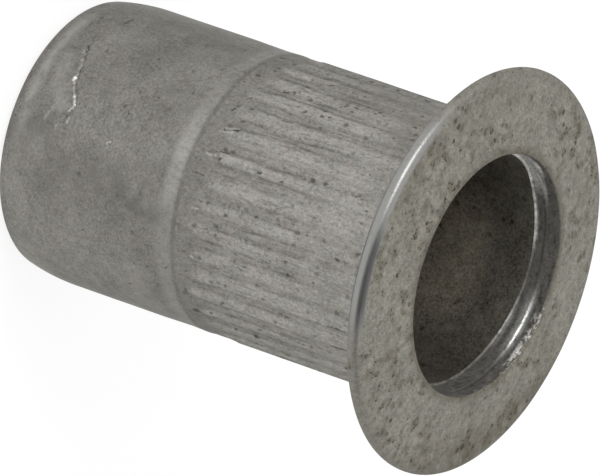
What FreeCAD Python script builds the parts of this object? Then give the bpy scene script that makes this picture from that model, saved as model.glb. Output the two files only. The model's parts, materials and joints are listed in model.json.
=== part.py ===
import FreeCAD, Part
import math
import os

# Knurled rivet nut with a flat flange and an M6 thread, formed from one blank.
# The axis is Z. The barrel's open end stands at z = 0 and the flange's mouth is at the top.
# Every size is in millimetres.

# Lengths along the axis
knurled_length = 8.77          # mouth plane to the ring, the thin wall that bulges when set
threaded_length = 6.87         # ring to the barrel's end, the thick wall

# Flange
flange_diameter = 13.0
rim_thickness = 0.44           # half-round edge
face_rise = 0.27               # the front face climbs this much from the rim to the mouth
flange_root_radius = 0.12

# Barrel outside
barrel_diameter = 9.05
waist_depth = 0.02             # shallow neck on both sides of the ring
waist_taper_length = 1.10
ring_slope_length = 0.65
ring_shoulder_length = 0.02
end_curve_length = 1.70
end_curve_radius = 6.50
end_corner_radius = 0.30

# Knurl: straight grooves that run out at both ends
knurl_count = 36
knurl_groove_depth = 0.10
knurl_groove_width = 0.38
knurl_root_width = 0.14
knurl_runout = 0.45
knurl_lead_in = 0.12           # ramp from the plain strip up to the ridges
plain_strip_length = 0.70      # between the ring and the knurl
knurl_top_gap = 0.28           # plain wall left under the flange

# Bore, from the mouth down
counterbore_wall = 0.765       # wall thickness over the whole counterbore
mouth_step = 0.045             # the mouth is this much wider than the burnished band
mouth_length = 0.50
band_step = 0.07               # the band is this much wider than the counterbore
band_length = 0.56
band_edge = 0.04
counterbore_end_gap = 0.17     # the counterbore stops this far above the ring
drill_point_angle = 118.0

# Thread, left as its tapping hole
thread_hole_diameter = 5.0
thread_chamfer = 0.55

# Places that follow
overall_length = knurled_length + threaded_length
flange_thickness = rim_thickness + face_rise
barrel_radius = barrel_diameter / 2
waist_radius = barrel_radius - waist_depth
counterbore_radius = barrel_radius - counterbore_wall
band_radius = counterbore_radius + band_step
mouth_radius = band_radius + mouth_step
hole_radius = thread_hole_diameter / 2
ring_height = threaded_length
knurl_bottom = ring_height + plain_strip_length
underside = overall_length - flange_thickness
knurl_top = underside - flange_root_radius - knurl_top_gap

origin = FreeCAD.Vector(0, 0, 0)
axis = FreeCAD.Vector(0, 0, 1)


def point(radius, height):
    return FreeCAD.Vector(radius, 0, height)


def at_angle(centre, radius, angle):
    return centre + point(radius * math.cos(angle), radius * math.sin(angle))


def line(start, end):
    return Part.LineSegment(start, end).toShape()


def lines(corners):
    return [line(start, end) for start, end in zip(corners, corners[1:])]


def arc(centre, radius, start_angle, end_angle):
    start = at_angle(centre, radius, start_angle)
    through = at_angle(centre, radius, (start_angle + end_angle) / 2)
    end = at_angle(centre, radius, end_angle)
    return Part.Arc(start, through, end).toShape()


def revolved(edges):
    section = Part.Face(Part.Wire(Part.__sortEdges__(edges)))
    return section.revolve(origin, axis, 360)


def end_edges():
    """Flat open end, its small corner and the long curve into the barrel's side."""
    long_centre = point(barrel_radius - end_curve_radius, end_curve_length)
    between = end_curve_radius - end_corner_radius
    down = end_curve_length - end_corner_radius
    turn = -math.asin(down / between)
    corner_centre = at_angle(long_centre, between, turn)
    face = line(point(hole_radius + thread_chamfer, 0), point(corner_centre.x, 0))
    corner = arc(corner_centre, end_corner_radius, -math.pi / 2, turn)
    side = arc(long_centre, end_curve_radius, turn, 0)
    return [face, corner, side]


def barrel_edges():
    """Threaded end, neck, sharp ring, plain strip and the band that carries the knurl."""
    slope_foot = ring_height - ring_slope_length
    return lines([
        point(barrel_radius, end_curve_length),
        point(barrel_radius, slope_foot - waist_taper_length),
        point(waist_radius, slope_foot),
        point(barrel_radius, ring_height),
        point(waist_radius, ring_height + ring_shoulder_length),
        point(waist_radius, knurl_bottom),
        point(barrel_radius, knurl_bottom + knurl_lead_in),
        point(barrel_radius, underside - flange_root_radius),
    ])


def flange_edges():
    """Root fillet, flat underside, half-round rim and the front face up to the mouth."""
    root_centre = point(barrel_radius + flange_root_radius, underside - flange_root_radius)
    root = arc(root_centre, flange_root_radius, math.pi, math.pi / 2)
    rim_radius = rim_thickness / 2
    rim_centre = point(flange_diameter / 2 - rim_radius, underside + rim_radius)
    below = line(point(root_centre.x, underside), point(rim_centre.x, underside))

    mouth_edge = point(mouth_radius, overall_length)
    inward = mouth_edge - rim_centre
    turn = math.atan2(inward.z, inward.x) - math.acos(rim_radius / inward.Length)
    rim = arc(rim_centre, rim_radius, -math.pi / 2, turn)
    face = line(at_angle(rim_centre, rim_radius, turn), mouth_edge)
    return [root, below, rim, face]


def bore_edges():
    """Mouth, burnished band, counterbore with its drill point, tapping hole and chamfer."""
    band_top = overall_length - mouth_length
    band_bottom = band_top - band_length
    floor = ring_height + counterbore_end_gap
    cone = (counterbore_radius - hole_radius) / math.tan(math.radians(drill_point_angle / 2))
    return lines([
        point(mouth_radius, overall_length),
        point(mouth_radius, band_top),
        point(band_radius, band_top - mouth_step),
        point(band_radius, band_bottom),
        point(band_radius - band_edge, band_bottom - band_edge),
        point(counterbore_radius, band_bottom - band_edge),
        point(counterbore_radius, floor),
        point(hole_radius, floor - cone),
        point(hole_radius, thread_chamfer),
        point(hole_radius + thread_chamfer, 0),
    ])


def knurl_cutter():
    """A flat-bottomed wedge, narrower below, whose ends ramp up and out of the barrel."""
    over = knurl_groove_depth / 2
    grow = (knurl_groove_depth + over) / knurl_groove_depth
    root = knurl_root_width / 2
    lip = root + (knurl_groove_width / 2 - root) * grow
    start = knurl_bottom + knurl_lead_in + knurl_runout
    end = knurl_top - knurl_runout
    reach = knurl_runout * grow
    return Part.makeWedge(
        -root, barrel_radius - knurl_groove_depth, start,
        start - reach, -lip,
        root, barrel_radius + over, end,
        end + reach, lip,
    )


def knurl_cutters():
    first = knurl_cutter()
    cutters = []
    for index in range(knurl_count):
        cutter = first.copy()
        cutter.rotate(origin, axis, 360.0 * (index + 0.5) / knurl_count)
        cutters.append(cutter)
    return cutters


def rivet_nut():
    blank = revolved(end_edges() + barrel_edges() + flange_edges() + bore_edges())
    return blank.cut(knurl_cutters()).Solids[0]


os.makedirs("parts", exist_ok=True)
nut = rivet_nut()
nut.exportStep("parts/rivet_nut.step")
print("rivet_nut", "volume", round(nut.Volume, 2), "faces", len(nut.Faces), "valid", nut.isValid())
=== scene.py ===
import json
import math

import bpy
import numpy as np
from mathutils import Matrix, Vector, noise


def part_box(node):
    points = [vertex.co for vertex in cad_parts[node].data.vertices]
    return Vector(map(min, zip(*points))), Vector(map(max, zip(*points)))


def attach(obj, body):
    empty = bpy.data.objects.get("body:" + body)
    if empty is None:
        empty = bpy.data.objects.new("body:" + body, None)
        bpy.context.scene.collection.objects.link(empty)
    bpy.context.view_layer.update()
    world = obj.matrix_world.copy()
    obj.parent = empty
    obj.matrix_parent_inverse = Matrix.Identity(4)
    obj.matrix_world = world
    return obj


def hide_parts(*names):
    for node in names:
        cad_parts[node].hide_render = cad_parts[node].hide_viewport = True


# Rivet nut with a flat flange and a knurled barrel, standing on its threaded end.
# Shapes are worked out in millimetres, with the axis along Z, and scaled to metres at the end.

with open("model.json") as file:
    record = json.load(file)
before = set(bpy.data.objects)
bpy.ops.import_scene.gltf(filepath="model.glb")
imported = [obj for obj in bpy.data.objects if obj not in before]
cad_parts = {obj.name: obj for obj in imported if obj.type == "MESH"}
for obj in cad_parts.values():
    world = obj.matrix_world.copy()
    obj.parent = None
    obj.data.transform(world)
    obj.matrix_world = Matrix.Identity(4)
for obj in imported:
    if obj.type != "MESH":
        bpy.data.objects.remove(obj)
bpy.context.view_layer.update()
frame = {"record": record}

mm = 0.001
mounts = {item["name"]: item for item in frame["record"]["mounts"]}
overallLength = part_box("rivet_nut")[1].z / mm
flangeRadius = max(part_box("rivet_nut")[1].xy) / mm
underside = mounts["flange_underside"]["pos_m"][2] / mm
print("frame loaded: length", round(overallLength, 2), "flange radius", round(flangeRadius, 2))


# Section of the nut, as rows of (radius, height) that a turn round the axis makes into the surface

barrel = {
    "radius": mounts["barrel"]["dims"]["r_mm"],
    "waistDepth": 0.02,  # shallow neck on both sides of the ring
    "waistTaper": 1.10,
    "endCurveLength": 1.70,
    "endCurveRadius": 6.50,
    "endCornerRadius": 0.30,
    "offCentre": -0.06,  # the blank was formed a hair off its axis, along X
    "offCentreFade": 0.6,  # under the flange, where the barrel comes back to the axis
    "offCentreRadii": (3.1, 4.0),  # and over the end face, between the hole and the corner
}
ring = {
    "height": 6.87,  # the sharp edge, where the thick wall ends
    "slopeLength": 0.65,
    "shoulder": 0.12,
}
flange = {
    "rimThickness": 0.44,
    "rootRadius": 0.12,
    "mouthRounding": 0.06,
}
bore = {
    "radius": mounts["counterbore"]["dims"]["r_mm"],
    "floor": mounts["counterbore"]["pos_m"][2] / mm - 4.3,
    "bandStep": 0.07,  # the burnished band is this much wider
    "bandLength": 0.56,
    "bandEdge": 0.04,
    "mouthStep": 0.045,
    "stepRise": 0.03,
    "mouthLength": 0.50,
    "ledgeLean": 0.2,  # both steps climb towards +Y and -X by about this much
    "stepLean": 0.25,
    "ledgeClimbs": [(35, 110, 1.0), (135, 175, 1.1)],  # degrees from and to, and the share of the lean
    "stepClimbs": [(40, 80, 0.2), (130, 175, 1.0)],
    "comesDown": (200, 300),
    "drillPointAngle": 118.0,
}
thread = {
    "crestRadius": mounts["thread"]["dims"]["r_mm"],
    "depth": 0.50,
    "pitch": 1.0,
    "crestShare": 0.28,  # of the pitch
    "rootShare": 0.14,
    "chamfer": 0.55,
    "phases": [0.0, 0.07, 0.165, 0.26, 0.36, 0.5, 0.64, 0.74, 0.835, 0.93],  # rows of points in one pitch
    "columns": 108,
}
# Heights where the spacing of the rows changes: closer over the starts of the ridges and over the lap
rowChange = {"underFlange": 0.8, "ridgeStarts": (8.6, 7.3), "lapAbove": 2.5}

# Places that follow
bandRadius = bore["radius"] + bore["bandStep"]
mouthRadius = bandRadius + bore["mouthStep"]
bandTop = overallLength - bore["mouthLength"]
bandBottom = bandTop - bore["bandLength"]
drillSlope = math.tan(math.radians(bore["drillPointAngle"] / 2))
chamferRadius = thread["crestRadius"] + thread["chamfer"] + 0.03
knurlTop = underside - flange["rootRadius"]


def straight(start, end, count):
    share = np.linspace(0, 1, count, endpoint=False)[:, None]
    return np.array(start) * (1 - share) + np.array(end) * share


def straights(zone, corners, counts):
    # Rows along the lines from corner to corner, with a number of rows for each line
    lines = zip(corners, corners[1:], counts)
    return [(zone, straight(start, end, count)) for start, end, count in lines]


def atAngle(centre, radius, angle):
    turn = math.radians(angle)
    return np.array(centre) + radius * np.array([math.cos(turn), math.sin(turn)])


def bend(centre, radius, startAngle, endAngle, count):
    angles = np.radians(np.linspace(startAngle, endAngle, count, endpoint=False))
    return np.array(centre) + radius * np.column_stack([np.cos(angles), np.sin(angles)])


def boreRows():
    edge, rounding = bore["bandEdge"], flange["mouthRounding"]
    holeTop = thread["crestRadius"] + thread["depth"] + 0.1
    wall = [
        (holeTop, bore["floor"] - (bore["radius"] - holeTop) / drillSlope),
        (bore["radius"], bore["floor"]),
        (bore["radius"], bandBottom - edge),
    ]
    band = [
        wall[-1],
        (bandRadius - edge, bandBottom - edge),
        (bandRadius, bandBottom),
        (bandRadius, bandTop - bore["mouthStep"]),
        (mouthRadius, bandTop + bore["stepRise"]),
        (mouthRadius, overallLength - rounding),
    ]
    lip = bend((mouthRadius + rounding, overallLength - rounding), rounding, 180, 90, 3)
    return straights("bore", wall, [4, 10]) + straights("band", band, [2, 2, 8, 4, 6]) + [("face", lip)]


def flangeRows():
    root, rimRadius = flange["rootRadius"], flange["rimThickness"] / 2
    rimCentre = np.array([flangeRadius - rimRadius, underside + rimRadius])
    mouthEdge = np.array([mouthRadius + flange["mouthRounding"], overallLength])
    inward = mouthEdge - rimCentre
    turn = math.degrees(math.atan2(inward[1], inward[0]) - math.acos(rimRadius / np.hypot(*inward)))
    rootCentre = (barrel["radius"] + root, knurlTop)
    return [
        ("face", straight(mouthEdge, atAngle(rimCentre, rimRadius, turn), 10)),
        ("rim", bend(rimCentre, rimRadius, turn, -90, 14)),
        ("rim", straight((rimCentre[0], underside), (rootCentre[0], underside), 3)),
        ("knurl", bend(rootCentre, root, 90, 180, 4)),
    ]


def barrelRows():
    radius = barrel["radius"]
    waist = radius - barrel["waistDepth"]
    slopeFoot = ring["height"] - ring["slopeLength"]
    shoulder = ring["height"] + ring["shoulder"]
    curveTop = barrel["endCurveLength"]
    corner = barrel["endCornerRadius"]
    between = barrel["endCurveRadius"] - corner
    turn = -math.degrees(math.asin((curveTop - corner) / between))
    longCentre = np.array([radius - barrel["endCurveRadius"], curveTop])
    cornerCentre = atAngle(longCentre, between, turn)
    levels = (knurlTop, knurlTop - rowChange["underFlange"], *rowChange["ridgeStarts"], shoulder)
    knurled = [(radius, level) for level in levels]
    plain = [(waist, shoulder), (radius, ring["height"]), (waist, slopeFoot)]
    levels = (slopeFoot - barrel["waistTaper"], rowChange["lapAbove"], curveTop)
    plain += [(radius, level) for level in levels]
    return straights("knurl", knurled, [6, 26, 17, 3]) + straights("barrel", plain, [2, 6, 3, 6, 13]) + [
        ("barrel", bend(longCentre, barrel["endCurveRadius"], 0, turn, 24)),
        ("barrel", bend(cornerCentre, corner, turn, -90, 6)),
        ("end", straight((cornerCentre[0], 0), (chamferRadius, 0), 3)),
    ]


sections = boreRows() + flangeRows() + barrelRows()
profile = np.vstack([rows for zone, rows in sections])
rowZones = np.repeat([zone for zone, rows in sections], [len(rows) for zone, rows in sections])

# A column each degree, and one more between where the photograph shows the lap and the burr
closeStretches = [(-136, -88), (44, 84)]
halfColumns = [angle + 0.5 for low, high in closeStretches for angle in range(low, high)]
columnAngles = np.sort(np.append(np.arange(-180.0, 180.0), halfColumns))


# Knurl: straight ridges that stand a little proud, with grooves between them

knurl = {
    "count": 36,
    "grooveDepth": 0.062,
    "proud": 0.014,  # how far the ridges stand above the barrel's size
    "topHalfWidth": 1.5,  # degrees, where the rounded crown begins to fall
    "footHalfWidth": 3.6,
    "footNotch": 0.012,  # the ridge's foot is a little deeper than the groove's middle
    "start": 7.44,
    "runOut": 0.38,
    "grooveRunOut": 0.8,
    "fade": 0.4,  # the grooves grow shallower towards the flange by this share
    "fadeHeights": (10.6, 12.6),
    "stripDepth": 0.02,
    "stripEnds": 13.8,  # the height from which the strip's depth runs out to the flange
    "wander": 0.5,  # degrees, by which a ridge bends along its length
    "uneven": 0.25,  # share by which its width and height change along it
    "torn": 0.22,  # how far its torn start reaches up and down
    "seenFrom": -160,  # the photograph's ridges, from this angle on, lean from their even places by these
    "seenShift": [-0.2, -0.6, 0, -0.2, 0.2, 0.9, 1.2, 1.6, 1.8, 1.9, 1.7, 0.9, 0.8, 1.0],
    "seed": 11,
}


def smoothStep(value, low, high):
    share = np.clip((value - low) / (high - low), 0, 1)
    return share * share * (3 - 2 * share)


def noiseAt(points, size, seed, octaves=2, squeeze=1.0):
    shift = Vector((seed * 1.7, seed * -2.3, seed * 0.9))
    flat = (points * np.array([1, 1, squeeze])).reshape(-1, 3)
    values = [noise.fractal(Vector(p) / size + shift, 0.9, 2.1, octaves) for p in flat]
    return np.array(values).reshape(points.shape[:-1])


def ridgeLooks():
    # Each ridge has its own lean, height, width and start
    random = np.random.default_rng(knurl["seed"])
    count = knurl["count"]
    shift = random.uniform(-0.4, 0.8, count)
    for index, seen in enumerate(knurl["seenShift"]):
        shift[(knurl["seenFrom"] // 10 + index) % count] = seen
    tall = random.uniform(0.5, 1.1, count)
    wide = random.uniform(0.82, 1.15, count)
    start = random.uniform(-0.12, 0.16, count)
    return shift, tall, wide, start


def knurlShape(points, heights):
    # Offset from the barrel's radius, and how much a point is in a groove, at a ridge's foot and on its top
    pitch = 360 / knurl["count"]
    shiftOf, tallOf, wideOf, startOf = ridgeLooks()
    place = columnAngles + knurl["wander"] * noiseAt(points, 0.9, 21, squeeze=0.3)
    nearest = np.round(place / pitch).astype(int)
    index = nearest % knurl["count"]
    lean = place - nearest * pitch - shiftOf[index]
    aside = np.minimum(np.abs(lean), np.abs(lean - pitch * np.sign(lean)) + 1.2)
    height = heights[:, None]
    worn = 1 + knurl["uneven"] * noiseAt(points, 0.5, 8, squeeze=0.35)
    foot = knurl["footHalfWidth"] * wideOf[index] * worn
    side = 1 - smoothStep(aside, knurl["topHalfWidth"] * wideOf[index] * worn, foot)
    torn = knurl["torn"] * noiseAt(points, 0.22, 14, 3, squeeze=0.5)
    start = knurl["start"]
    fingerEnd = start + startOf[index] + torn + 0.25 * (aside / foot) ** 2
    ridgeEnd = smoothStep(height, fingerEnd, fingerEnd + knurl["runOut"])
    groove = smoothStep(height, start, start + knurl["grooveRunOut"])
    groove = groove * (1 - smoothStep(height, knurlTop - 0.75, knurlTop - 0.2))
    groove = groove * (1 - knurl["fade"] * smoothStep(height, *knurl["fadeHeights"]))
    strip = knurl["stripDepth"] * (1 - smoothStep(height, knurl["stripEnds"], knurlTop))
    low = -strip - (knurl["grooveDepth"] - knurl["stripDepth"] - knurl["footNotch"]) * groove
    high = knurl["proud"] * tallOf[index] * worn
    notch = np.exp(-((aside - foot) / 0.5) ** 2) * groove
    offset = low + (high - low) * side * ridgeEnd - knurl["footNotch"] * notch
    return offset, groove * (1 - side), notch, side * ridgeEnd


def threadRadius(angles, heights):
    # Right-hand thread with flat crests and roots, opened by the chamfer and the drill point
    phase = (heights / thread["pitch"] - angles / 360) % 1
    fromCrest = np.abs(phase - 0.5) * 2  # 0 on the crest's middle, 1 in the root's
    flank = 1 - thread["crestShare"] - thread["rootShare"]
    deep = np.clip((fromCrest - thread["crestShare"]) / flank, 0, 1)
    radius = thread["crestRadius"] + thread["depth"] * deep
    drillPoint = bore["radius"] - (bore["floor"] - heights) * drillSlope
    return np.maximum(radius, np.maximum(chamferRadius - heights, drillPoint))


# Marks on the skin, as they lie on this nut: heights in mm from the end, angles in degrees

lap = {
    "line": [(-134, 1.38), (-126.4, 1.56), (-123, 1.64), (-117.6, 1.76), (-113, 1.83), (-107.5, 1.92),
             (-103, 2.16), (-99.8, 2.29), (-96.7, 2.22), (-92.3, 2.12), (-89, 1.9)],
    "lift": 0.04,
    "fadeLength": 0.9,
    "grooveDepth": 0.035,
    "grooveWidth": 0.07,
    "below": 3.2,  # the height under which it can lie
}
burr = {
    "from": 18,
    "to": 86,
    "height": 0.045,
    "size": 0.2,
    "seed": 5,
    "faceWithin": 4.2,  # radius and height of the part of the mouth that it can reach
    "boreAbove": 15.4,
}
skinWave = {"height": 0.006, "size": 2.5, "seed": 3}  # the skin is never quite true


def fadedStretch(values, low, high, rise, fall):
    return smoothStep(values, low, low + rise) * (1 - smoothStep(values, high - fall, high))


def lapShape(heights):
    # The flap lies on the end's side of the line and stands proud of the skin beyond it
    lineAngles, ringEdgeShadeHeights = np.array(lap["line"]).T
    edge = np.interp(columnAngles, lineAngles, ringEdgeShadeHeights)
    along = fadedStretch(columnAngles, lineAngles[0], lineAngles[-1], 6, 4)
    below = edge - heights[:, None]
    flap = smoothStep(below, -0.03, 0.03) * (1 - smoothStep(below, 0.03, lap["fadeLength"]))
    groove = 1 - smoothStep(np.abs(below + 0.02), 0, lap["grooveWidth"])
    return along * (lap["lift"] * flap - lap["grooveDepth"] * groove)


def burrShape(points):
    along = fadedStretch(columnAngles, burr["from"], burr["to"], 6, 6)
    return burr["height"] * along * noiseAt(points, burr["size"], burr["seed"], 3)


def climb(heights, level, lean, climbs):
    # How far a step at this level climbs at each angle, and the wall near it
    turn = columnAngles % 360
    climbed = sum(share * smoothStep(turn, low, high) for low, high, share in climbs)
    climbed = lean * climbed * (1 - smoothStep(turn, *bore["comesDown"]))
    near = 1 - smoothStep(np.abs(heights - level), 0.06, 0.42)
    return climbed * near[:, None]


def rowNormals(rows):
    travel = np.gradient(rows, axis=0)
    travel /= np.linalg.norm(travel, axis=1)[:, None]
    return np.column_stack([-travel[:, 1], travel[:, 0]])


def turned(radius, height, angles):
    turn = np.radians(angles)
    return np.stack([radius * np.cos(turn), radius * np.sin(turn), height + 0 * radius], axis=-1)


def outerSkin():
    radii, heights = profile.T
    radius, height = np.repeat(profile.T[..., None], len(columnAngles), axis=2)
    points = turned(radius, height, columnAngles)
    offset, groove, foot, top = np.zeros((4, *radius.shape))
    rows = rowZones == "knurl"
    offset[rows], groove[rows], foot[rows], top[rows] = knurlShape(points[rows], heights[rows])
    rows = (rowZones == "barrel") & (heights < lap["below"])
    offset[rows] = lapShape(heights[rows])
    rows = (rowZones == "face") & (radii < burr["faceWithin"])
    rows = rows | (rowZones == "band") & (heights > burr["boreAbove"])
    offset[rows] += burrShape(points[rows])
    offset += skinWave["height"] * noiseAt(points, skinWave["size"], skinWave["seed"])

    outward = rowNormals(profile)[:, None, :] * offset[:, :, None]
    outer = turned(radius + outward[..., 0], height + outward[..., 1], columnAngles)
    inside = np.isin(rowZones, ["band", "bore"])
    ledge = climb(heights[inside], bandBottom, bore["ledgeLean"], bore["ledgeClimbs"])
    step = climb(heights[inside], bandTop, bore["stepLean"], bore["stepClimbs"])
    outer[inside, :, 2] += ledge + step
    share = ~inside & (rowZones != "face") & (radii < flangeRadius - 1)
    share = share * (1 - smoothStep(heights, underside - barrel["offCentreFade"], underside))
    share = share * smoothStep(radii, *barrel["offCentreRadii"])
    outer[..., 0] += barrel["offCentre"] * share[:, None]
    return outer, {"grooveDepth": groove, "ridgeFoot": foot, "ridgeTop": top}


def holeSkin(firstNumber):
    # Rows of points climb with the thread, and are cut off level at the end face and at the drill point
    columns, pitch = thread["columns"], thread["pitch"]
    angles = np.linspace(-180, 180, columns + 1)
    top = profile[0, 1]
    turns = range(-1, math.ceil(top / pitch) + 2)
    starts = np.array([turn + phase for turn in turns for phase in thread["phases"]]) * pitch
    heights = np.clip(starts[:, None] + angles / 360 * pitch, 0, top)
    points = turned(threadRadius(angles, heights), heights, angles)
    perTurn = len(thread["phases"])
    numbers = {}
    kept = []

    def number(row, column):
        if column == columns:
            row, column = row + perTurn, 0
        key = (column, round(float(heights[row, column]), 6))
        if key not in numbers:
            numbers[key] = firstNumber + len(kept)
            kept.append(points[row, column])
        return numbers[key]

    faces = []
    for row in range(len(starts) - perTurn - 1):
        for column in range(columns):
            corners = [(row, column), (row + 1, column), (row + 1, column + 1), (row, column + 1)]
            face = list(dict.fromkeys(number(*corner) for corner in corners))
            if len(face) > 2:
                faces.append(face)
    low, high = ([numbers[column, round(float(level), 6)] for column in range(columns)] for level in (0, top))
    return np.array(kept), faces, low, high, angles[:-1]


# Mesh

def gridFaces(rowCount, columnCount):
    corner = np.arange(rowCount * columnCount).reshape(rowCount, columnCount)
    after = np.roll(corner, -1, axis=1)
    return np.stack([corner[:-1], corner[1:], after[1:], after[:-1]], axis=-1).reshape(-1, 4).tolist()


def seamFaces(lowRing, lowAngles, highRing, highAngles):
    # Triangles between two rings of points with different columns, walked round by angle
    lowRing, highRing = [*lowRing, lowRing[0]], [*highRing, highRing[0]]
    lowAngles, highAngles = [*lowAngles, lowAngles[0] + 360], [*highAngles, highAngles[0] + 360]
    lowEnd, highEnd = len(lowRing) - 1, len(highRing) - 1
    faces = []
    low, high = 0, 0
    while low < lowEnd or high < highEnd:
        if high == highEnd or (low < lowEnd and lowAngles[low + 1] <= highAngles[high + 1]):
            faces.append((lowRing[low], highRing[high], lowRing[low + 1]))
            low += 1
        else:
            faces.append((lowRing[low], highRing[high], highRing[high + 1]))
            high += 1
    return faces


def newObject(name, data):
    made = bpy.data.objects.new(name, data)
    bpy.context.scene.collection.objects.link(made)
    return made


def rivetNut():
    outer, masks = outerSkin()
    outerRows, columns = outer.shape[:2]
    outerCount = outerRows * columns
    hole, holeFaces, holeLow, holeHigh, holeAngles = holeSkin(outerCount)
    outerFaces = gridFaces(outerRows, columns)
    faces = outerFaces + holeFaces
    faces += seamFaces(range(outerCount - columns, outerCount), columnAngles, holeLow, holeAngles)
    faces += seamFaces(holeHigh, holeAngles, range(columns), columnAngles)
    vertices = np.vstack([outer.reshape(-1, 3), hole]) * mm

    mesh = bpy.data.meshes.new("rivetNut")
    mesh.from_pydata(vertices.tolist(), [], faces)
    zoneSlots = {"barrel": 0, "knurl": 1, "rim": 2, "face": 2, "band": 3, "bore": 4, "end": 5}
    slots = [zoneSlots[zone] for zone in rowZones[:-1] for column in range(columns)]
    slots += [zoneSlots["end"]] * (len(faces) - len(outerFaces))
    mesh.polygons.foreach_set("material_index", slots)
    for name, values in masks.items():
        layer = mesh.attributes.new(name, "FLOAT", "POINT")
        layer.data.foreach_set("value", np.append(values.ravel(), np.zeros(len(hole))))
    mesh.shade_smooth()
    mesh.set_sharp_from_angle(angle=math.radians(38))
    return newObject("rivetNut", mesh)


nut = rivetNut()
triangleCount = sum(len(face.vertices) - 2 for face in nut.data.polygons)
print("nut mesh:", len(nut.data.vertices), "points,", triangleCount, "triangles")


# Shader helpers

def addNode(kind, inputs, tree=None, **settings):
    # Without a tree, the node goes to the one that its inputs come from
    sockets = (value for value in inputs.values() if isinstance(value, bpy.types.NodeSocket))
    tree = tree or next(sockets).id_data
    node = tree.nodes.new("ShaderNode" + kind)
    for name, value in settings.items():
        setattr(node, name, value)
    for name, value in inputs.items():
        if isinstance(value, bpy.types.NodeSocket):
            tree.links.new(value, node.inputs[name])
        else:
            node.inputs[name].default_value = value
    return node


def calc(operation, first, second=0.0):
    return addNode("Math", {0: first, 1: second}, operation=operation).outputs[0]


def chained(operation, result, *others):
    for other in others:
        result = calc(operation, result, other)
    return result


def product(*values):
    return chained("MULTIPLY", *values)


def highest(*values):
    return chained("MAXIMUM", *values)


def spread(value, low, high, toLow=0.0, toHigh=1.0):
    inputs = {"Value": value, "From Min": low, "From Max": high, "To Min": toLow, "To Max": toHigh}
    return addNode("MapRange", inputs, interpolation_type="SMOOTHSTEP").outputs["Result"]


def window(value, low, high, soft):
    # 1 between low and high, with soft ends
    rising = spread(value, low - soft, low + soft)
    return product(rising, spread(value, high + soft, high - soft))


def blend(share, first, second):
    return addNode("Mix", {0: share, 6: first, 7: second}, data_type="RGBA").outputs[2]


def layered(look, colour, *layers):
    # Each layer lays a colour of the finish over those before it, by its mask and the colour's share
    for name, mask in layers:
        if name + "Share" in look:
            mask = product(mask, look[name + "Share"])
        colour = blend(mask, colour, look[name])
    return colour


def tone(red, green, blue):
    # A colour as it looks on a screen, 0 to 255, in the shader's own scale
    parts = [c / 255 for c in (red, green, blue)]
    return tuple(c / 12.92 if c <= 0.04045 else ((c + 0.055) / 1.055) ** 2.4 for c in parts) + (1.0,)


def newGroup(name, inputs, outputs):
    # Each input is given as its number, or else as the kind of its socket
    tree = bpy.data.node_groups.new(name, "ShaderNodeTree")
    for socketName, value in inputs.items():
        kind = value if isinstance(value, str) else "Float"
        socket = tree.interface.new_socket(socketName, in_out="INPUT", socket_type="NodeSocket" + kind)
        if kind == "Float":
            socket.default_value = value
    for socketName, kind in outputs.items():
        tree.interface.new_socket(socketName, in_out="OUTPUT", socket_type="NodeSocket" + kind)
    return tree, tree.nodes.new("NodeGroupInput").outputs, tree.nodes.new("NodeGroupOutput").inputs


def grouped(group, inputs):
    return addNode("Group", inputs, node_tree=group).outputs


def vectorCalc(operation, first, second):
    node = addNode("VectorMath", {0: first, 1: second}, operation=operation)
    return node.outputs["Value" if operation in ("DOT_PRODUCT", "DISTANCE") else "Vector"]


def scaled(vector, factor):
    return addNode("VectorMath", {0: vector, "Scale": factor}, operation="SCALE").outputs[0]


def stretchedPlace(place, size, lengthwise):
    # The place divided by size, and along the axis by size times lengthwise
    across = addNode("Math", {0: 1.0, 1: size}, place.id_data, operation="DIVIDE").outputs[0]
    along = calc("DIVIDE", across, lengthwise)
    scale = addNode("CombineXYZ", {0: across, 1: across, 2: along}).outputs[0]
    return vectorCalc("MULTIPLY", place, scale)


def noiseField(place, size, detail=3, lengthwise=1, roughness=0.55, output=0):
    where = stretchedPlace(place, size, lengthwise)
    inputs = {"Vector": where, "Scale": 1.0, "Detail": detail, "Roughness": roughness}
    return addNode("TexNoise", inputs).outputs[output]


def patchy(place, size, low, high, least=0.0, most=1.0, **noiseShape):
    # A mask from noise of this size in mm: least where the noise is under low, most where it is over high
    return spread(noiseField(place, size, **noiseShape), low, high, least, most)


def skinGroup():
    # Colour of bare metal with soft patches, a middle mottle, fine grain and a touch of warm and cool
    inputs = {"Place": "Vector", "Colour": "Color", "PatchSize": 1.5, "Patches": 0.1, "MottleSize": 0.3,
              "Mottle": 0.1, "GrainSize": 0.085, "Grain": 0.3, "Lengthwise": 1.0, "Tint": 0.2}
    tree, given, made = newGroup("metalSkin", inputs, {"Colour": "Color", "Height": "Float"})
    warmTint, coolTint = (1.05, 0.985, 0.95), (0.96, 1.01, 1.02)
    place, lengthwise = given["Place"], given["Lengthwise"]
    grain = noiseField(place, given["GrainSize"], 2.0, lengthwise, 0.9)
    mottle = noiseField(place, given["MottleSize"], 1.0, lengthwise)
    patches = noiseField(place, given["PatchSize"], 2.0, lengthwise)
    brightness = 1.0
    for field, amount in ((grain, "Grain"), (mottle, "Mottle"), (patches, "Patches")):
        swing = product(calc("SUBTRACT", field, 0.5), given[amount])
        brightness = calc("ADD", brightness, swing)
    colour = scaled(given["Colour"], brightness)
    hue = noiseField(place, product(given["MottleSize"], 0.8), 2.0)
    warm, cool = (vectorCalc("MULTIPLY", colour, tint) for tint in (warmTint, coolTint))
    tinted = blend(spread(hue, 0.35, 0.65), cool, warm)
    tree.links.new(blend(given["Tint"], colour, tinted), made["Colour"])
    tree.links.new(grain, made["Height"])
    return tree


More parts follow.
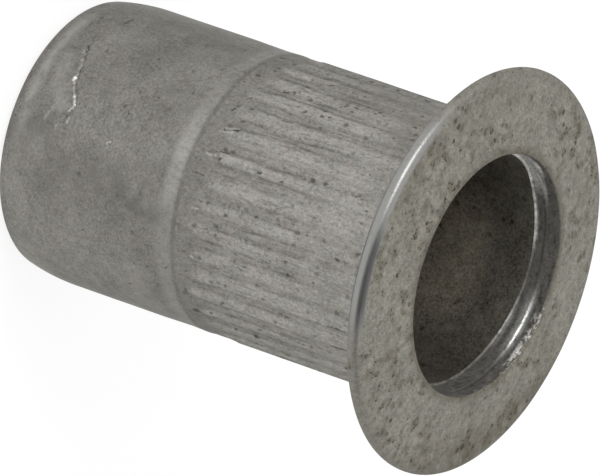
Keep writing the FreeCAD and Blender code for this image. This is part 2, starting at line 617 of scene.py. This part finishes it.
def speckGroup():
    # Ragged dark specks of dirt, some cells only, each of its own size
    inputs = {"Place": "Vector", "Spacing": 0.3, "Radius": 0.3, "Share": 0.5, "Lengthwise": 1.0}
    tree, given, made = newGroup("dirtSpecks", inputs, {"Specks": "Float"})
    where = stretchedPlace(given["Place"], given["Spacing"], given["Lengthwise"])
    wobble = addNode("TexNoise", {"Vector": where, "Scale": 3.5, "Detail": 3.0}).outputs[1]
    bentPlace = vectorCalc("ADD", where, scaled(wobble, 0.55))
    cells = addNode("TexVoronoi", {"Vector": bentPlace, "Scale": 1.0})
    size, chance, depth = addNode("SeparateColor", {0: cells.outputs["Color"]}).outputs
    reach = product(given["Radius"], calc("ADD", product(size, 0.8), 0.2))
    inside = spread(cells.outputs["Distance"], reach, product(reach, 0.55))
    kept = calc("LESS_THAN", chance, given["Share"])
    strength = calc("ADD", product(depth, 0.6), 0.4)
    tree.links.new(product(inside, kept, strength), made["Specks"])
    return tree


def barrelPoint(angle, height):
    centre = (barrel["offCentre"], 0)
    return Vector((*atAngle(centre, barrel["radius"], angle), height))


def markGroup(name, marks):
    # Each mark is a short stroke: angle and height at both ends, half its width, and its strength
    tree, given, made = newGroup(name, {"Place": "Vector"}, {"Mask": "Float"})
    wobble = noiseField(given["Place"], 0.13, 2.0, output=1)
    ragged = scaled(vectorCalc("SUBTRACT", wobble, (0.5, 0.5, 0.5)), 0.16)
    place = vectorCalc("ADD", given["Place"], ragged)
    mask = 0.0
    for startAngle, startHeight, endAngle, endHeight, width, strength in marks:
        start = barrelPoint(startAngle, startHeight)
        along = barrelPoint(endAngle, endHeight) - start
        fromStart = vectorCalc("SUBTRACT", place, start)
        share = calc("DIVIDE", vectorCalc("DOT_PRODUCT", fromStart, along), along.length_squared)
        foot = scaled(along, calc("MINIMUM", calc("MAXIMUM", share, 0.0), 1.0))
        gap = vectorCalc("DISTANCE", fromStart, foot)
        mask = highest(mask, spread(gap, width * 1.15, width * 0.2, 0.0, strength))
    tree.links.new(mask, made["Mask"])
    return tree


metalSkin = skinGroup()
dirtSpecks = speckGroup()


# Parts that the metals share

def emptyTree(owner):
    owner.use_nodes = True
    owner.node_tree.nodes.clear()
    return owner.node_tree


def newMetal(name, look, paint):
    # The paint gives colour, roughness and height of the relief, and metallic where it varies
    material = bpy.data.materials.new(name)
    tree = emptyTree(material)
    constants = {"Metallic": look["metallic"], "Specular Tint": look["edge"]}
    shader = addNode("BsdfPrincipled", constants, tree)
    addNode("OutputMaterial", {"Surface": shader.outputs[0]})
    objectPlace = addNode("TexCoord", {}, tree).outputs["Object"]
    colour, roughness, height, *metallic = paint(scaled(objectPlace, 1 / mm), look)
    bump = addNode("Bump", {"Distance": look["relief"] * mm, "Height": height}).outputs[0]
    inputNames = ("Base Color", "Roughness", "Normal", "Metallic")
    for inputName, socket in zip(inputNames, (colour, roughness, bump, *metallic)):
        tree.links.new(socket, shader.inputs[inputName])
    return material


def bareSkin(place, colour, look):
    return grouped(metalSkin, {"Place": place, "Colour": colour, **look["skin"]})


def specksOn(place, look):
    return grouped(dirtSpecks, {"Place": place, **look["specks"]})[0]


def specksAndMarks(place, colour, look, owner):
    # dark marks are partly painted shadows; the bright marks are painted highlights
    dark = grouped(markGroup(owner + "DarkMarksAndPaintedShadows", look["darkMarksAndPaintedShadows"]), {"Place": place})[0]
    bright = grouped(markGroup(owner + "PaintedHighlightMarks", look["paintedHighlightMarks"]), {"Place": place})[0]
    dark = highest(product(specksOn(place, look), look["speckStrength"]), dark)
    return layered(look, colour, ("speck", dark), ("bright", bright))


def angleAndHeight(place):
    # Degrees round the axis from +X, and millimetres from the barrel's end
    x, y, z = addNode("SeparateXYZ", {0: place}).outputs
    return product(calc("ARCTAN2", y, x), 180 / math.pi), z


def cloudMask(angle, length, clouds):
    # Soft clouds: angle, place along, reach in degrees, reach in mm, strength
    mask = 0.0
    for cloudAngle, cloudLength, angleReach, lengthReach, strength in clouds:
        across = calc("DIVIDE", calc("SUBTRACT", angle, cloudAngle), angleReach)
        along = calc("DIVIDE", calc("SUBTRACT", length, cloudLength), lengthReach)
        farness = calc("ADD", product(across, across), product(along, along))
        mask = highest(mask, spread(farness, 1.6, 0.0, 0.0, strength))
    return mask


def stretchMask(angle, height, stretches):
    # Stretches of the band: angle from and to, height from and to, softness in degrees and in mm
    return highest(*(
        product(window(angle, fromAngle, toAngle, softAngle), window(height, low, high, softHeight))
        for fromAngle, toAngle, low, high, softAngle, softHeight in stretches))


def frayed(value, place, size, amount):
    return calc("ADD", value, product(noiseField(place, size), amount))


def unevenRoughness(skin, look):
    middle, swing = look["roughness"], look["uneven"]
    return spread(skin["Height"], 0.3, 0.7, middle - swing, middle + swing)


# The metals. Reliefs and sizes of specks and skin are in millimetres, grain and patches are shares of the
# colour. Clouds and strokes are listed in the order that cloudMask and markGroup give.

barrelFinish = {
    "metallic": 0.85,
    "colour": tone(128, 126, 121),
    "edge": tone(206, 206, 204),
    "dark": tone(104, 102, 97),
    # burnish colour, also used for the painted highlight on the flank's lit side and the end's curve
    "paleAndPaintedLight": tone(156, 154, 148),
    "burnishAndPaintedHighlight": tone(184, 183, 178),
    "ringEdgeShade": tone(104, 102, 97),
    "speck": tone(70, 66, 60),
    # bright: the colour of the painted highlight marks
    "bright": tone(222, 221, 217),
    "skin": {"PatchSize": 1.6, "Patches": 0.8, "Mottle": 0.42, "Grain": 1.75, "Tint": 0.3},
    "specks": {"Spacing": 0.24, "Radius": 0.42, "Share": 0.16},
    "speckStrength": 0.6,
    "roughness": 0.48,
    "uneven": 0.06,
    "relief": 0.008,
    "flankRises": (6.16, 6.5),  # heights over which the ring's bright flank begins and ends
    "flankFalls": (6.9, 6.74),
    "flankShare": 0.2,
    "litSideHighlightShare": 0.4,  # more of it between these angles, a painted highlight on the lit side
    "litSideAngles": (-109, -80),
    "ringEdgeShadeHeights": (6.83, 6.89),
    "curveHighlightHeights": (0.42, 0.8),  # painted highlight along the end's curve, between these heights and angles
    "curveHighlightAngles": (-146, -84),
    "curveHighlightShare": 0.5,
    # darker clouds: stains, and partly painted shade
    "stainsAndPaintedShade": [
        (-76, 4.6, 9, 1.9, 0.4), (-71, 5.8, 7, 0.8, 0.6), (-72, 2.6, 10, 1.2, 0.25),
        (-84, 1.2, 9, 0.9, 0.45), (-118, 5.6, 8, 0.8, 0.3), (-150, 3.6, 14, 3.2, 0.3), (38, 4, 16, 2, 0.3),
        (120, 2.5, 20, 1.5, 0.3),
    ],
    # pale clouds: lighter metal, and painted light that makes the lower side lighter
    "palesAndPaintedLight": [
        (-98, 3.9, 12, 2.2, 0.4), (-34, 2.8, 26, 3.4, 0.3), (-16, 0.9, 26, 1, 0.4),
        (-50, 0.8, 18, 0.7, 0.4), (120, 4, 20, 2, 0.3),
    ],
    # dark marks: pits and the lap's crack, with a painted shadow along the crack
    "darkMarksAndPaintedShadows": [
        (-149.3, 1.92, -143.6, 1.9, 0.05, 0.7), (-126.4, 1.57, -122.5, 1.66, 0.045, 0.95),
        (-122.5, 1.66, -117.6, 1.77, 0.035, 0.8), (-113.4, 1.86, -112.9, 1.86, 0.05, 0.7),
        (-111, 1.93, -107.4, 2, 0.03, 0.6), (-106.4, 2.12, -103, 2.27, 0.025, 0.45),
        (-96.4, 2.3, -92.3, 2.19, 0.025, 0.5), (-47.9, 6.72, -47, 6.62, 0.05, 0.8),
        (-62.9, 6.8, -62.6, 6.35, 0.02, 0.6), (-58, 6.75, -57.2, 6.1, 0.02, 0.5),
        (-52, 3.5, -51.6, 3.45, 0.04, 0.6), (-31, 5, -30.4, 4.9, 0.05, 0.7),
    ],
    # painted highlights: glints along the lap's flap edge and light on the flap
    "paintedHighlightMarks": [
        (-110.2, 1.84, -108.6, 1.84, 0.07, 1), (-114.3, 1.67, -110.8, 1.77, 0.04, 0.4),
        (-124, 1.53, -118, 1.68, 0.04, 0.25), (-106.4, 1.95, -103, 2.13, 0.035, 0.5),
        (-103, 2.13, -99.8, 2.28, 0.045, 0.65), (-99.8, 2.28, -96.7, 2.2, 0.045, 0.55),
        (-94.3, 2.28, -92.3, 2.24, 0.06, 0.4), (-96.7, 2.18, -89.6, 1.92, 0.04, 0.35),
        (-90.6, 4.02, -89.6, 3.88, 0.025, 0.7), (-118, 1.15, -106, 1.4, 0.4, 0.12),
        (-106, 1.4, -98, 1.85, 0.35, 0.14), (-100.5, 1.7, -91, 1.45, 0.06, 0.2),
    ],
}


def barrelPaint(place, look):
    angle, height = angleAndHeight(place)
    base = blend(cloudMask(angle, height, look["palesAndPaintedLight"]), look["colour"], look["paleAndPaintedLight"])
    skin = bareSkin(place, base, look)
    cloudy = patchy(place, 0.7, 0.3, 0.6)
    stainedAndShaded = product(cloudMask(angle, height, look["stainsAndPaintedShade"]), cloudy)

    # Burnish brightens the ring's flank all round; a painted highlight adds to it on the lit side and lies
    # along the end's curve
    litSide = window(angle, *look["litSideAngles"], 16)
    flankShare = calc("ADD", product(litSide, look["litSideHighlightShare"]), look["flankShare"])
    streaks = patchy(place, 0.14, 0.3, 0.6, 0.35, lengthwise=2, roughness=0.8)
    onFlank = product(spread(height, *look["flankRises"]), spread(height, *look["flankFalls"]))
    curveHighlight = window(height, *look["curveHighlightHeights"], 0.2)
    curveHighlight = product(curveHighlight, window(angle, *look["curveHighlightAngles"], 14), cloudy)
    bright = product(onFlank, flankShare, streaks)
    bright = highest(bright, product(curveHighlight, look["curveHighlightShare"]))
    # painted shade: a broken dark line along the ring's sharp edge
    ringEdgeShadeAmount = patchy(place, 0.8, 0.35, 0.6, 0.1, 0.5, detail=2)
    ringEdgeShadeMask = product(spread(height, *look["ringEdgeShadeHeights"]), ringEdgeShadeAmount)
    colour = layered(look, skin["Colour"], ("dark", stainedAndShaded), ("burnishAndPaintedHighlight", bright), ("ringEdgeShade", ringEdgeShadeMask))
    colour = specksAndMarks(place, colour, look, "barrel")
    return colour, unevenRoughness(skin, look), skin["Height"]


knurlFinish = {
    "metallic": 0.85,
    "ridge": tone(157, 155, 149),
    "edge": tone(178, 178, 177),
    "groove": tone(146, 144, 138),
    "paleAndPaintedLight": tone(170, 168, 162),
    "stainAndPaintedShade": tone(122, 119, 113),
    "strip": tone(131, 129, 124),
    "foot": tone(104, 101, 95),
    "footShare": 0.75,
    "scratch": tone(104, 101, 95),
    "scratchShare": 0.45,
    "speck": tone(66, 61, 54),
    "bright": tone(196, 194, 188),
    "skin": {"PatchSize": 1.2, "Patches": 0.3, "Mottle": 0.4, "Grain": 1.7, "Lengthwise": 1.3, "Tint": 0.35},
    "specks": {"Spacing": 0.19, "Radius": 0.55, "Share": 0.32, "Lengthwise": 1.3},
    "speckStrength": 0.75,
    "roughness": 0.48,
    "uneven": 0.08,
    "relief": 0.012,
    "begins": (7.45, 9.0),  # heights over which the plain strip gives way to the knurl
    "calms": (10.8, 12.6),  # and over which its scratches and dark feet grow fainter
    "calm": 0.6,  # share of them that is left near the flange
    # darker clouds: stains, and partly painted shade
    "stainsAndPaintedShade": [(-152, 12, 15, 2.6, 0.5), (-132, 13.3, 10, 1.2, 0.5), (-172, 10.5, 12, 2.4, 0.5)],
    # pale clouds: lighter metal, and painted light that makes the lower side lighter
    "palesAndPaintedLight": [(-96, 12.4, 14, 2, 0.3), (-46, 10, 18, 3, 0.15)],
    # dark marks: pits, and painted shadows under the ridges' torn starts
    "darkMarksAndPaintedShadows": [
        (-119.9, 7.5, -119, 7.45, 0.07, 0.8), (-127.5, 7.75, -126, 7.6, 0.04, 0.7),
        (-99.8, 7.45, -99.4, 7.12, 0.035, 0.6), (-90.1, 7.6, -90, 7.2, 0.04, 0.75),
        (-80.4, 7.9, -80, 7.5, 0.035, 0.6), (-28, 7.5, -27.2, 7.35, 0.1, 0.8),
        (-37.7, 7.3, -37, 7.2, 0.1, 0.5), (-67.6, 6.95, -66.8, 6.93, 0.05, 0.6),
        (-70.2, 8.2, -69.8, 7.6, 0.03, 0.6), (-143.4, 9.9, -142.4, 9.78, 0.06, 0.7),
        (-129, 9.7, -128.7, 9.62, 0.06, 0.8), (-122.3, 9.55, -121.6, 9.25, 0.05, 0.6),
        (-111.5, 8.1, -110.8, 7.92, 0.06, 0.9), (-110.6, 7.9, -109.8, 7.5, 0.03, 0.7),
        (-98.2, 9.5, -97.8, 9.38, 0.06, 0.8), (-101.8, 8.3, -101, 7.85, 0.05, 0.9),
        (-101, 7.85, -99.6, 7.4, 0.03, 0.8), (-98.2, 7.93, -97.8, 7.88, 0.06, 0.8),
        (-62.4, 9.38, -61, 9.28, 0.06, 0.7), (-39.5, 8.76, -37.8, 8.6, 0.05, 0.7),
        (-55.8, 7.7, -50.4, 7.74, 0.028, 0.6), (-142.3, 11.82, -141.6, 11.78, 0.06, 0.8),
        (-139.8, 10.7, -139, 10.66, 0.06, 0.7), (-131.8, 12.1, -127.4, 12.26, 0.025, 0.5),
        (-101.6, 13.35, -101.4, 13.15, 0.05, 0.7), (-46.8, 13.45, -46.6, 12.8, 0.05, 0.8),
        (-36.8, 13.3, -36.2, 12.8, 0.08, 0.8), (-97.4, 10.35, -97.1, 10.25, 0.05, 0.7),
        (-33.4, 10.2, -32.6, 10.05, 0.08, 0.8),
    ],
    # painted highlights on the ridges' torn starts
    "paintedHighlightMarks": [
        (-112.6, 8.15, -110.6, 7.6, 0.03, 0.5), (-109.6, 7.9, -108.8, 7.45, 0.04, 0.5),
        (-98.9, 7.75, -98.6, 7.4, 0.05, 0.6), (-99.6, 8.9, -98, 8.85, 0.06, 0.4),
        (-57, 7.75, -56.7, 7.55, 0.05, 0.6), (-76.9, 7.7, -76.7, 7.5, 0.05, 0.5),
    ],
}


def knurlPaint(place, look):
    angle, height = angleAndHeight(place)
    groove, foot, top = (addNode("Attribute", {}, place.id_data, attribute_name=name).outputs["Fac"]
                         for name in ("grooveDepth", "ridgeFoot", "ridgeTop"))
    onKnurl = spread(height, *look["begins"])
    calm = spread(height, *look["calms"], 1.0, look["calm"])
    crest = product(top, patchy(place, 0.5, 0.3, 0.65, detail=4, lengthwise=2.5))
    grime = patchy(place, 0.4, 0.35, 0.6, 0.1, lengthwise=2)
    # the ridges' feet darker, in patches
    darkerFeet = product(foot, grime, calm)
    drawn = noiseField(place, 0.075, lengthwise=13, roughness=0.7)
    scratched = product(spread(drawn, 0.52, 0.64), onKnurl, calm)
    pits = patchy(place, 0.09, 0.56, 0.74, lengthwise=2.5, roughness=0.8)
    pitted = product(pits, calc("ADD", product(onKnurl, 0.45), 0.15))
    between = blend(onKnurl, look["strip"], blend(groove, look["ridge"], look["groove"]))
    colour = layered(
        look, between, ("ridge", crest), ("foot", darkerFeet), ("scratch", scratched), ("speck", pitted),
        ("paleAndPaintedLight", cloudMask(angle, height, look["palesAndPaintedLight"])),
        ("stainAndPaintedShade", cloudMask(angle, height, look["stainsAndPaintedShade"])),
    )
    skin = bareSkin(place, colour, look)
    colour = specksAndMarks(place, skin["Colour"], look, "knurl")
    relief = calc("ADD", product(drawn, onKnurl), product(skin["Height"], 0.6))
    return colour, unevenRoughness(skin, look), relief


flangeFinish = {
    "metallic": 0.85,
    "colour": tone(144, 142, 133),
    "edge": tone(205, 205, 203),
    "dirt": tone(52, 46, 34),
    "dirtShare": 0.82,
    "smudge": tone(104, 98, 82),
    "smudgeShare": 0.6,
    "grime": tone(96, 90, 78),
    "grimeShare": 0.55,
    "skin": {"PatchSize": 1.4, "Patches": 0.35, "MottleSize": 0.28, "Mottle": 0.6, "GrainSize": 0.1,
             "Grain": 2.0, "Tint": 0.35},
    "specks": {"Spacing": 0.21, "Radius": 0.65, "Share": 0.12},
    "roughness": 0.55,
    "uneven": 0.06,
    "relief": 0.008,
    # clouds where specks and smudges gather, and where a dark film lies, with the radius as the place along
    "dirty": [
        (-126, 5.7, 26, 0.8, 1), (-96, 5.4, 24, 0.9, 1), (-70, 4.6, 22, 0.5, 0.9),
        (-100, 4.3, 40, 0.4, 0.8), (-40, 4.6, 24, 0.6, 0.9), (-14, 5.6, 30, 0.8, 1),
        (54, 4.5, 20, 0.5, 0.8), (30, 5.9, 40, 0.7, 1), (150, 5.4, 24, 0.8, 1), (120, 4.6, 20, 0.6, 0.6),
        (-150, 4.7, 20, 0.6, 0.6),
    ],
    "grimy": [(-118, 6, 20, 0.6, 0.8), (-150, 5.7, 22, 0.5, 0.5)],
    "grimySide": (2, 74),
    "rim": tone(150, 150, 149),
    "rimDull": tone(118, 116, 109),
    "rimDullShare": 0.3,
    "rimRadii": (6.28, 6.44),
    "rimRoughness": 0.35,
    "rimAngles": (-128, -64),  # the rim is polished between these angles
    # painted reflection: a dark stripe along the polished rim, beside the face
    "paintedRimReflection": tone(72, 72, 74),
    "paintedRimReflectionShare": 0.8,
    "paintedRimReflectionAngles": (-92, -66),
    "paintedRimReflectionRadii": (6.24, 6.44),
    # painted glints on the burr's bright flecks at the mouth
    "burr": tone(205, 204, 200),
    "burrGlintFrom": 50,
    "burrGlintRadii": (4.02, 3.94),
}


def flangePaint(place, look):
    angle = angleAndHeight(place)[0]
    radius = vectorCalc("DISTANCE", vectorCalc("MULTIPLY", place, (1, 1, 0)), (0, 0, 0))
    skin = bareSkin(place, look["colour"], look)

    # Dirt on the face: smudges with dark cores, specks, a film on some sides and a ring of it at the mouth
    dirty = highest(cloudMask(angle, radius, look["dirty"]), patchy(place, 1.1, 0.46, 0.66))
    smudge = patchy(place, 0.4, 0.48, 0.64, roughness=0.65)
    smudge = product(smudge, spread(dirty, 0.0, 0.8, 0.15))
    cores = patchy(place, 0.13, 0.54, 0.64, detail=2, roughness=0.85)
    cores = product(cores, spread(smudge, 0.1, 0.6, 0.12))
    specks = product(specksOn(place, look), spread(dirty, 0.0, 0.8, 0.3, 0.9))
    dirt = highest(cores, specks)
    film = product(window(angle, *look["grimySide"], 14), spread(radius, 4.6, 6.0))
    film = highest(film, cloudMask(angle, radius, look["grimy"]))
    film = product(film, patchy(place, 0.6, 0.3, 0.6))
    atMouth = spread(frayed(radius, place, 0.35, 0.36), 4.46, 4.1)
    grime = highest(film, product(atMouth, 0.95))

    onRim = spread(frayed(radius, place, 0.3, 0.25), *look["rimRadii"])
    polish = product(onRim, window(angle, *look["rimAngles"], 10))
    scuffed = spread(skin["Height"], 0.4, 0.75, 1.0, 0.5)
    # painted reflection: the dark stripe along the rim next to the face
    paintedRimReflection = window(angle, *look["paintedRimReflectionAngles"], 6)
    paintedRimReflection = product(paintedRimReflection, window(radius, *look["paintedRimReflectionRadii"], 0.07))
    # painted glints on the burr's flecks
    torn = patchy(place, 0.2, 0.5, 0.62, 0.0, 0.85, detail=4, roughness=0.75)
    burrGlints = window(angle, look["burrGlintFrom"], burr["to"], 6)
    burrGlints = product(spread(radius, *look["burrGlintRadii"]), burrGlints, torn)
    colour = layered(
        look, skin["Colour"], ("smudge", smudge), ("grime", grime), ("dirt", dirt), ("rimDull", onRim),
        ("rim", product(polish, scuffed)), ("paintedRimReflection", paintedRimReflection), ("burr", burrGlints),
    )
    roughness = spread(polish, 0.0, 1.0, unevenRoughness(skin, look), look["rimRoughness"])
    relief = calc("SUBTRACT", skin["Height"], dirt)
    relief = product(relief, spread(polish, 0.0, 1.0, 1.0, 0.6))
    return colour, roughness, relief


bandFinish = {
    "metallic": 0.25,
    "colour": tone(112, 110, 106),
    "edge": tone(200, 200, 200),
    "paleAndPaintedLight": tone(216, 215, 211),
    "ledge": tone(158, 157, 154),
    "polishAndPaintedHighlight": tone(222, 222, 220),
    "scale": tone(60, 57, 52),
    "scaleShare": 0.5,
    "paintedStepShade": tone(60, 57, 52),
    "paintedStepShadeShare": 0.55,
    "skin": {"PatchSize": 0.8, "Patches": 0.5, "MottleSize": 0.2, "Mottle": 0.6, "Grain": 1.5, "Tint": 0.3},
    "roughness": 0.5,
    "shineRoughness": 0.32,
    "shineMetallic": 0.6,
    "relief": 0.004,
    # painted light on the wall's lit side, a painted highlight on the ledge, polish with a painted highlight
    # on the step, painted glints on the burr, and painted shade on the step elsewhere
    "paintedLightStretches": [
        (142, 186, 14.72, 15.24, 8, 0.07), (156, 190, 15.1, 15.42, 6, 0.06),
        (112, 142, 14.7, 14.82, 6, 0.06),
    ],
    "ledgePaintedHighlight": [(62, 82, 14.4, 14.78, 8, 0.06)],
    "polishAndPaintedHighlightStretches": [(60, 86, 14.98, 15.28, 8, 0.1)],
    "burrGlintStretches": [(52, 80, 15.42, 15.62, 5, 0.06)],
    "paintedStepShadeStretches": [(-60, 50, 15.06, 15.24, 8, 0.04), (92, 134, 15.06, 15.24, 6, 0.04)],
}


def bandPaint(place, look):
    angle, height = angleAndHeight(place)
    onward = product(calc("LESS_THAN", angle, -90.0), 360.0)
    onward = calc("ADD", angle, onward)  # -90 to 270, so that no stretch crosses the seam
    # masks for the painted light, the ledge's painted highlight, the step's polish and painted highlight, the
    # burr's painted glints and the step's painted shade
    paleAndPaintedLight, ledge, polishAndPaintedHighlight, burrGlintMask, paintedStepShade = (
        stretchMask(onward, height, look[name])
        for name in ("paintedLightStretches", "ledgePaintedHighlight", "polishAndPaintedHighlightStretches", "burrGlintStretches", "paintedStepShadeStretches"))
    rubs = noiseField(place, 0.5, lengthwise=0.14, roughness=0.7)
    polishAndPaintedHighlight = product(polishAndPaintedHighlight, spread(rubs, 0.35, 0.65, 1.0, 0.5))
    scale = patchy(place, 0.3, 0.52, 0.64, lengthwise=0.5, roughness=0.7)
    colour = layered(
        look, look["colour"],
        ("paleAndPaintedLight", product(paleAndPaintedLight, spread(rubs, 0.3, 0.65, 1.0, 0.6))),
        ("ledge", ledge), ("polishAndPaintedHighlight", polishAndPaintedHighlight),
        ("polishAndPaintedHighlight", product(burrGlintMask, patchy(place, 0.16, 0.42, 0.56))),
        ("scale", scale), ("paintedStepShade", paintedStepShade),
    )
    skin = bareSkin(place, colour, look)
    metallic = spread(polishAndPaintedHighlight, 0.0, 1.0, look["metallic"], look["shineMetallic"])
    roughness = spread(polishAndPaintedHighlight, 0.0, 1.0, look["roughness"], look["shineRoughness"])
    return skin["Colour"], roughness, calc("ADD", rubs, skin["Height"]), metallic


boreFinish = {
    "metallic": 0.6,
    "colour": tone(146, 140, 125),
    "dark": tone(112, 108, 100),
    "deepShade": tone(96, 92, 84),  # the wall's low side in the photograph
    "edge": tone(170, 168, 160),
    "speck": tone(60, 54, 42),
    "skin": {"PatchSize": 1.8, "Patches": 0.8, "MottleSize": 0.4, "Mottle": 0.8, "Grain": 2.6, "Tint": 0.4},
    "specks": {"Spacing": 0.28, "Radius": 0.55, "Share": 0.25},
    "speckShare": 0.8,
    "roughness": 0.6,
    "uneven": 0.06,
    "relief": 0.012,
    "paintedLightAngles": (66, 130),  # painted light: the wall is lighter between these angles, up to these heights
    "paintedLightHeights": (13.6, 12.6),
    "shadeAngles": (74, 46),
}


def borePaint(place, look):
    angle, height = angleAndHeight(place)
    # painted light on part of the wall, and painted shade on its low side
    paintedLight = window(angle, *look["paintedLightAngles"], 18)
    paintedLight = product(paintedLight, spread(height, *look["paintedLightHeights"]))
    shaded = spread(angle, *look["shadeAngles"])
    wall = layered(look, look["dark"], ("deepShade", shaded), ("colour", paintedLight))
    skin = bareSkin(place, wall, look)
    specks = specksOn(place, look)
    colour = layered(look, skin["Colour"], ("speck", specks))
    relief = calc("SUBTRACT", skin["Height"], specks)
    return colour, unevenRoughness(skin, look), relief


endFinish = {
    "metallic": 0.95,
    "colour": tone(146, 144, 140),
    "edge": tone(210, 210, 210),
    "skin": {"PatchSize": 1.4, "Patches": 0.3, "Mottle": 0.3, "Grain": 0.8, "Tint": 0.4},
    "roughness": 0.38,
    "uneven": 0.06,
    "relief": 0.006,
}


def endPaint(place, look):
    skin = bareSkin(place, look["colour"], look)
    relief = calc("ADD", noiseField(place, 0.5, lengthwise=0.1), skin["Height"])
    return skin["Colour"], unevenRoughness(skin, look), relief


metals = {
    "barrelMetal": (barrelFinish, barrelPaint),
    "knurlMetal": (knurlFinish, knurlPaint),
    "flangeMetal": (flangeFinish, flangePaint),
    "bandMetal": (bandFinish, bandPaint),
    "boreMetal": (boreFinish, borePaint),
    "endMetal": (endFinish, endPaint),
}
for name, (look, paint) in metals.items():
    nut.data.materials.append(newMetal(name, look, paint))
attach(nut, "root")
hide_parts("rivet_nut")
print("metals:", list(metals))


# Floor and studio light

studio = {
    "floorReach": 0.6,  # metres
    "floorLevel": -0.02 * mm,  # a hair under the end face, so that the two never share a plane
    "floorColour": (0.8, 0.8, 0.8, 1.0),
    "floorSeenColour": (0.2, 0.2, 0.2, 1.0),  # what the eye sees beside its glow, so that shadows stay
    "floorGlow": 0.84,
    "skyLevel": 0.85,
    "lampWay": (-0.52, -0.55, 0.65),
    "lampDistance": 0.15,
    "lampSize": 0.075,
    "lampPower": 0.07,
    # a dark part of the room, met by reflections only, that draws the dark stripe along the polished rim
    "darkWay": (0.46, -0.42, 0.75),
    "darkReach": 34,  # degrees
    "darkSoftness": 0.05,
    "darkLevel": 0.12,
}
mouthCentre = Vector((0, 0, overallLength * mm))


def whiteForEyeAndGloss(tree):
    paths = addNode("LightPath", {}, tree).outputs
    return highest(*(paths[f"Is {kind} Ray"] for kind in ("Camera", "Glossy", "Transmission")))


def mixedShader(share, first, second):
    return addNode("MixShader", {0: share, 1: first, 2: second}).outputs[0]


def paleFloor():
    reach, level = studio["floorReach"], studio["floorLevel"]
    mesh = bpy.data.meshes.new("floor")
    corners = [(x * reach, y * reach, level) for x, y in ((-1, -1), (1, -1), (1, 1), (-1, 1))]
    mesh.from_pydata(corners, [], [(0, 1, 2, 3)])
    floor = newObject("floor", mesh)
    material = bpy.data.materials.new("paleFloor")
    tree = emptyTree(material)
    plain = addNode("BsdfDiffuse", {"Color": studio["floorColour"]}, tree).outputs[0]
    dimmer = addNode("BsdfDiffuse", {"Color": studio["floorSeenColour"]}, tree).outputs[0]
    glow = addNode("Emission", {"Strength": studio["floorGlow"]}, tree).outputs[0]
    white = addNode("AddShader", {0: dimmer, 1: glow}).outputs[0]
    surface = mixedShader(whiteForEyeAndGloss(tree), plain, white)
    clear = addNode("BsdfTransparent", {}, tree).outputs[0]
    fromBelow = addNode("NewGeometry", {}, tree).outputs["Backfacing"]
    addNode("OutputMaterial", {"Surface": mixedShader(fromBelow, surface, clear)})
    mesh.materials.append(material)


def sky():
    world = bpy.data.worlds.new("studioSky")
    bpy.context.scene.world = world
    tree = emptyTree(world)
    white = (1, 1, 1, 1)
    soft = addNode("Background", {"Color": white, "Strength": studio["skyLevel"]}, tree).outputs[0]
    toward = addNode("TexCoord", {}, tree).outputs["Generated"]
    near = vectorCalc("DOT_PRODUCT", toward, Vector(studio["darkWay"]).normalized())
    edge, softness = math.cos(math.radians(studio["darkReach"])), studio["darkSoftness"]
    level = spread(near, edge - softness, edge + softness, 1.0, studio["darkLevel"])
    bright = addNode("Background", {"Color": white, "Strength": level}, tree).outputs[0]
    seen = mixedShader(whiteForEyeAndGloss(tree), soft, bright)
    addNode("OutputWorld", {"Surface": seen})


def softLamp():
    way = Vector(studio["lampWay"])
    lamp = bpy.data.lights.new("softLamp", "AREA")
    lamp.shape = "DISK"
    lamp.size = studio["lampSize"]
    lamp.energy = studio["lampPower"]
    holder = newObject("softLamp", lamp)
    holder.location = way.normalized() * studio["lampDistance"] + mouthCentre
    holder.rotation_mode = "QUATERNION"
    holder.rotation_quaternion = (-way).to_track_quat("-Z", "Y")
    holder.visible_camera = False


paleFloor()
sky()
softLamp()
print("floor, sky and lamp made")


# Camera, from where the mouth and the axis lie in the photograph

view = {
    "elevation": 31.366,  # degrees above the floor
    "roll": 19.086,  # the picture's turn about the line of sight
    "distance": 357.5 * mm,  # to the middle of the mouth
    "focalPixels": 11684.4,
    "pictureSize": (600, 476),
    "mouthPixel": (487.83, 275.91),
    "sensorWidth": 36.0,
}


def photoCamera():
    tilt, roll = math.radians(view["elevation"]), math.radians(view["roll"])
    ahead = Vector((0, math.cos(tilt), -math.sin(tilt)))
    upward = Vector((0, math.sin(tilt), math.cos(tilt)))
    sideways = Vector((1, 0, 0))
    right = math.cos(roll) * upward - math.sin(roll) * sideways
    down = math.cos(roll) * sideways + math.sin(roll) * upward
    scale = view["distance"] / view["focalPixels"]
    places = zip(view["mouthPixel"], view["pictureSize"])
    across, below = ((pixel - size / 2) * scale for pixel, size in places)
    lens = bpy.data.cameras.new("photoCamera")
    lens.sensor_width = view["sensorWidth"]
    lens.lens = view["focalPixels"] * view["sensorWidth"] / view["pictureSize"][0]
    lens.clip_start, lens.clip_end = 0.01, 5
    camera = newObject("photoCamera", lens)
    turn = Matrix((right, -down, -ahead)).transposed().to_4x4()
    place = mouthCentre - across * right - below * down - view["distance"] * ahead
    camera.matrix_world = Matrix.Translation(place) @ turn
    bpy.context.scene.camera = camera


photoCamera()
bpy.context.scene.view_settings.view_transform = "Standard"
